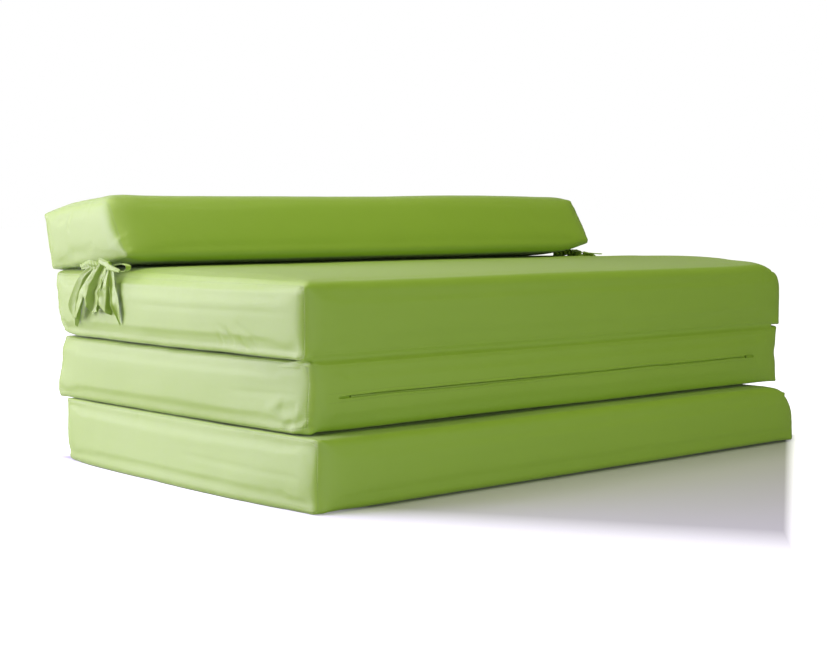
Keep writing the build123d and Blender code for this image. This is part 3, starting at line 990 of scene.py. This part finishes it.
# Each tail's line as (out, y, z), with its widths, pleats, pleat depth, cut and lean
tails = [
    ([(0.004, 0.190, 0.340), (0.008, 0.220, 0.324), (0.009, 0.238, 0.300), (0.008, 0.255, 0.270),
      (0.005, 0.262, 0.240)], (0.008, 0.013, 0.020, 0.026, 0.010), 0.7, 0.0045, 0.006, -0.7),
    ([(0.006, 0.188, 0.338), (0.010, 0.206, 0.317), (0.014, 0.220, 0.296), (0.014, 0.232, 0.274),
      (0.010, 0.246, 0.250)], (0.009, 0.014, 0.020, 0.022, 0.008), 0.6, 0.0045, -0.005, 0.5),
    ([(0.010, 0.158, 0.342), (0.014, 0.173, 0.322), (0.014, 0.188, 0.298), (0.012, 0.206, 0.268)],
     (0.012, 0.020, 0.028, 0.022), 1.1, 0.0055, 0.010, -0.6),
    ([(0.009, 0.151, 0.338), (0.012, 0.160, 0.316), (0.013, 0.170, 0.293), (0.011, 0.184, 0.264)],
     (0.012, 0.017, 0.022, 0.018), 0.6, 0.0050, -0.007, 0.45),
    ([(0.007, 0.144, 0.337), (0.011, 0.147, 0.316), (0.012, 0.149, 0.294), (0.010, 0.156, 0.268)],
     (0.011, 0.018, 0.026, 0.028), 0.9, 0.0055, 0.008, -0.7),
    ([(0.005, 0.138, 0.334), (0.008, 0.131, 0.306), (0.009, 0.124, 0.284), (0.006, 0.114, 0.254)],
     (0.008, 0.012, 0.018, 0.008), 0.6, 0.0040, -0.009, -0.5),
]
# Each loop's line, its widths and how near the wall it may come: the left-hand one stands as a small ring,
# and the right-hand one lies flat on the seat
loops = {
    "left": (
        [(0.006, 0.140, 0.338), (0.006, 0.128, 0.343), (0.006, 0.107, 0.346), (0.006, 0.089, 0.344),
         (0.006, 0.086, 0.339), (0.006, 0.094, 0.3345), (0.006, 0.112, 0.334), (0.006, 0.138, 0.336)],
        (0.007, 0.009, 0.010, 0.010, 0.010, 0.009, 0.007), flattest,
    ),
    "right": (
        [(0.004, 0.166, 0.345), (-0.020, 0.160, 0.350), (-0.036, 0.145, 0.347), (-0.034, 0.118, 0.3445),
         (-0.036, 0.092, 0.3435), (-0.044, 0.062, 0.3430)],
        (0.010, 0.014, 0.020, 0.020, 0.016, 0.006), -0.1,
    ),
}
# The straps that hold the ties: the lower one is sewn to the top panel, the upper one to the bolster
lower_line = [(0.001, 0.171, 0.300), (0.0015, 0.171, 0.318), (0.003, 0.169, 0.333), (0.006, 0.166, 0.341)]
upper_line = [
    (0.002, 0.244, 0.337), (0.005, 0.224, 0.341), (0.008, 0.205, 0.343), (0.009, 0.186, 0.342),
    (0.009, 0.168, 0.342),
]
for side, hand in ((-1, "left"), (1, "right")):
    ball = knot(hand + "_knot", side)
    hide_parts(hand + "_tie_knot")
    for index, (line, widths, pleats, depth, cut, lean) in enumerate(tails):
        name = f"{hand}_tail_{index + 1}"
        made = tape(name, line, widths, pleats, depth, 50 + index, side, cut=cut, lean=lean)
        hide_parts(hand + "_tie_tails")
    drop = 0.0 if side < 0 else 0.010
    wrap_line = [
        (0.012, 0.166, 0.342), (0.016, 0.159, 0.349 - drop), (0.015, 0.143, 0.346 - drop),
        (0.015, 0.128, 0.340 - drop), (0.011, 0.104, 0.3345 - drop),
    ]
    tape(hand + "_wrap", wrap_line, (0.008, 0.011, 0.011, 0.009, 0.006), 1.0, 0.0014, 61, side)
    line, widths, lowest = loops[hand]
    loop = tape(hand + "_loop", line, widths, 0.8, 0.0009, 62, side, across_x=True, lowest=lowest)
    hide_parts(hand + "_tie_loop")
    lower = tape(hand + "_lower_strap", lower_line, (0.013, 0.012, 0.011, 0.009), 1.2, 0.0010, 63, side)
    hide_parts(hand + "_panel_strap")
    name, widths = hand + "_upper_strap", (0.010, 0.012, 0.013, 0.012, 0.010)
    upper = tape(name, upper_line, widths, 1.3, 0.0014, 64, side, gathers=0.0016, body="bolster")
    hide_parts(hand + "_bolster_strap")

# The zips keep their own solids, in finishes of the cover's green


def enamel(name, colour, roughness, pitch=0.0):
    """Tinted metal or nylon with a slight change of tone, and ribs of this pitch along X if asked."""
    material = bpy.data.materials.new(name)
    tree, shader = link_up(material)
    place = tree.nodes.new("ShaderNodeTexCoord").outputs["Object"]
    shade = mixed(tree, noise(tree, place, 70, 2.0), tuple(c * 0.8 for c in colour), colour)
    tree.links.new(shade, shader.inputs["Base Color"])
    if pitch:
        ribs = maths(tree, "SINE", times(tree, axes_of(tree, place)[0], 2 * math.pi / pitch))
        tree.links.new(bumped(tree, ribs, 0.6, 0.0003), shader.inputs["Normal"])
    shader.inputs["Roughness"].default_value = roughness
    return material


zip_finishes = {
    "tapes": cotton("zip_tape_weave", (0.210, 0.345, 0.015), (0.180, 0.30, 0.012), thread=0.0005),
    "coils": enamel("zip_nylon", (0.17, 0.29, 0.014), 0.5, pitch=0.0013),
    "slider": enamel("zip_enamel", (0.19, 0.32, 0.015), 0.42),
    "pull": enamel("zip_pull_enamel", (0.20, 0.34, 0.016), 0.42),
}
for name in cushions:
    for part, material in zip_finishes.items():
        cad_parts[f"{name}_zip_{part}"].material_slots[0].material = material

# Floor, light and camera


def studio():
    """A pale floor and white surround, with soft lights at the left rear, behind, above and in front."""
    bpy.ops.mesh.primitive_plane_add(size=60, location=(0, 0, -0.0005))
    floor = bpy.context.object
    floor.name = "studio_floor"
    material = bpy.data.materials.new("studio_floor_white")
    tree, shader = link_up(material)
    base = (0.57, 0.565, 0.665, 1)
    fill_in(shader, {"Base Color": base, "Roughness": 0.5, "Specular IOR Level": 0.15})
    glow = tree.nodes.new("ShaderNodeEmission")
    glow.inputs["Color"].default_value = (1, 1, 1, 1)
    path = tree.nodes.new("ShaderNodeLightPath")
    place = axes_of(tree, tree.nodes.new("ShaderNodeTexCoord").outputs["Object"])
    away = 0.0
    # The white of the backdrop begins beyond these lines: in front, at both sides and behind
    for along_x, along_y, start in (
        (-3.207, -1.932, -2.21), (24.85, -34.8, -27.1), (20.0, 0.0, -12.0),
        (-33.3, 0.0, -18.5), (0.0, 20.0, -6.6),
    ):
        slope = maths(tree, "MULTIPLY_ADD", place[1], along_y, start)
        slope = maths(tree, "MULTIPLY_ADD", place[0], along_x, slope, clamp=True)
        away = maths(tree, "MAXIMUM", away, slope)
    tree.links.new(times(tree, path.outputs["Is Camera Ray"], away), glow.inputs["Strength"])
    both = tree.nodes.new("ShaderNodeAddShader")
    tree.links.new(shader.outputs[0], both.inputs[0])
    tree.links.new(glow.outputs[0], both.inputs[1])
    tree.links.new(both.outputs[0], next(n for n in tree.nodes if n.type == "OUTPUT_MATERIAL").inputs[0])
    floor.data.materials.append(material)

    world = bpy.data.worlds.new("studio_world")
    scene.world = world
    world.use_nodes = True
    tree = world.node_tree
    tree.nodes.clear()
    output = tree.nodes.new("ShaderNodeOutputWorld")
    seen = tree.nodes.new("ShaderNodeBackground")
    lit = tree.nodes.new("ShaderNodeBackground")
    mix = tree.nodes.new("ShaderNodeMixShader")
    path = tree.nodes.new("ShaderNodeLightPath")
    fill_in(lit, {"Color": (1, 1, 0.5, 1), "Strength": 0.13})
    fill_in(seen, {"Color": (1, 1, 1, 1), "Strength": 1.0})
    tree.links.new(path.outputs["Is Camera Ray"], mix.inputs[0])
    tree.links.new(lit.outputs[0], mix.inputs[1])
    tree.links.new(seen.outputs[0], mix.inputs[2])
    tree.links.new(mix.outputs[0], output.inputs[0])

    for name, place, aim, size, power, colour in (
        ("far_softbox", (-3.9, 3.1, 0.9), (-0.5, 0, 0.25), (5.0, 2.0), 172, (0.67, 0.545, 0.92)),
        ("key_softbox", (-3.2, 1.9, 1.1), (-0.5, -0.1, 0.25), (3.0, 1.6), 170, (0.66, 0.56, 0.95)),
        ("high_softbox", (-1.9, 1.0, 2.1), (-0.3, -0.1, 0.25), (1.6, 1.6), 43, (0.65, 0.53, 0.92)),
        ("rear_softbox", (-0.7, 2.9, 2.3), (-0.4, 0, 0.3), (2.0, 1.2), 38, (0.65, 0.53, 1.0)),
        ("top_softbox", (-0.5, 0.0, 2.8), (-0.15, 0, 0.25), (2.0, 1.6), 48, (1, 0.98, 0.70)),
        ("front_softbox", (-0.3, -3.4, 0.5), (0, 0, 0.3), (2.6, 1.0), 41, (0.97, 1.04, 0.78)),
    ):
        bpy.ops.object.light_add(type="AREA", location=place)
        lamp = bpy.context.object
        lamp.name = name
        lamp.data.shape = "RECTANGLE"
        lamp.data.size, lamp.data.size_y = size
        lamp.data.energy, lamp.data.color = power, colour
        lamp.rotation_euler = (Vector(aim) - lamp.location).to_track_quat("-Z", "Y").to_euler()


studio()

camera_data = bpy.data.cameras.new("camera")
camera = bpy.data.objects.new("camera", camera_data)
scene.collection.objects.link(camera)
camera.location = (-1.9614, -2.1801, 0.434)
camera.rotation_euler = (math.radians(90 - 4.48), 0, math.radians(-41.38))
camera_data.sensor_width = 36
camera_data.lens = 70.16
scene.camera = camera
scene.view_settings.view_transform = "Standard"
